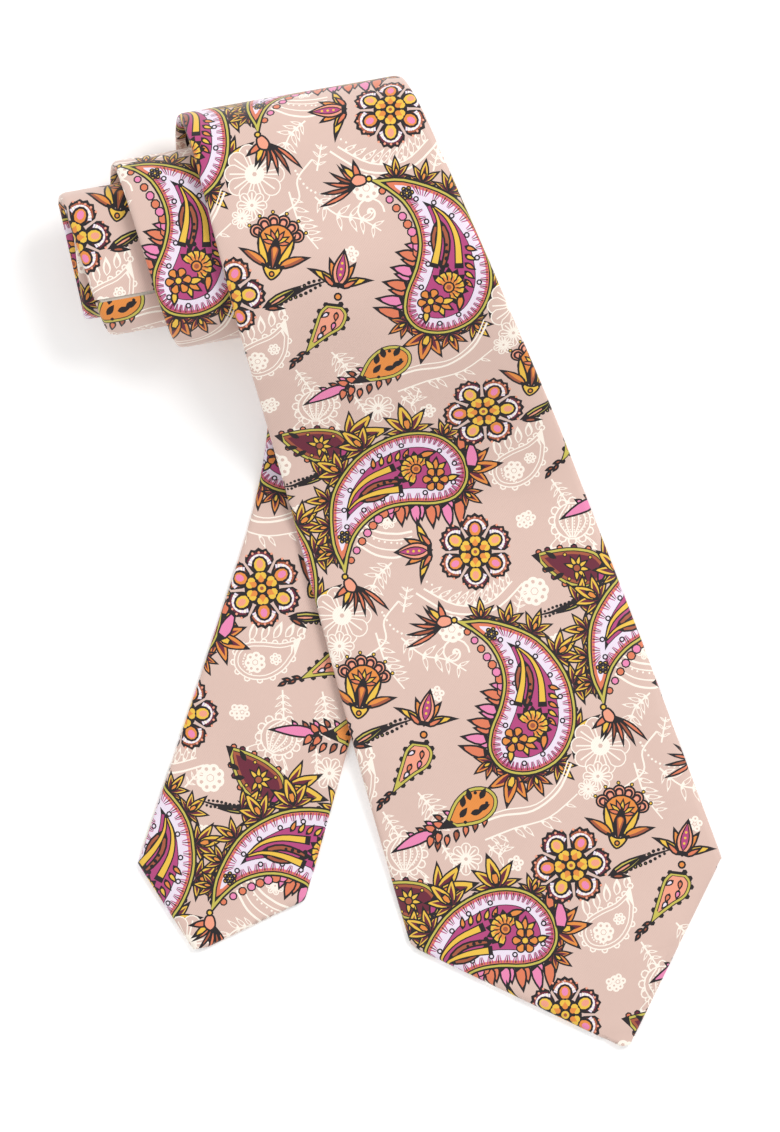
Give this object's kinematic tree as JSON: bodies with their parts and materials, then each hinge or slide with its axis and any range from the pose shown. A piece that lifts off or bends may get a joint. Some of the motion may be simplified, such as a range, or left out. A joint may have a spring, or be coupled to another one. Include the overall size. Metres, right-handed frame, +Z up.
{
  "type": "necktie",
  "caption": "Printed long necktie, folded in half at the neck and rolled up, with both pointed ends laid out flat.",
  "frame": {"origin": "middle of the footprint, on the surface the tie lies on", "axes": "+Z up, +Y from the two points towards the roll, +X towards the blade's point"},
  "size_m": [0.2078, 0.3034, 0.0437],
  "materials": {
    "printed_cloth": "satin twill, printed all over with paisleys and flowers",
    "lining_cloth": "plain satin lining",
    "interlining": "brushed felted interlining",
    "sewing_thread": "twisted sewing thread",
    "label_tape": "blank woven label tape"
  },
  "bodies": {
    "root": {"blade_shell": "printed_cloth", "neck_shell": "printed_cloth", "tail_shell": "printed_cloth", "blade_interlining": "interlining", "tail_interlining": "interlining", "blade_tipping": "lining_cloth", "tail_tipping": "lining_cloth", "slip_stitch": "sewing_thread", "tail_slip_stitch": "sewing_thread", "blade_bar_tack": "sewing_thread", "tail_bar_tack": "sewing_thread", "blade_neck_seam": "sewing_thread", "neck_tail_seam": "sewing_thread", "keeper_loop": "printed_cloth", "keeper_tack_left": "sewing_thread", "keeper_tack_right": "sewing_thread", "blank_label": "label_tape", "slack_thread_loop": "sewing_thread"}
  },
  "joints": []
}
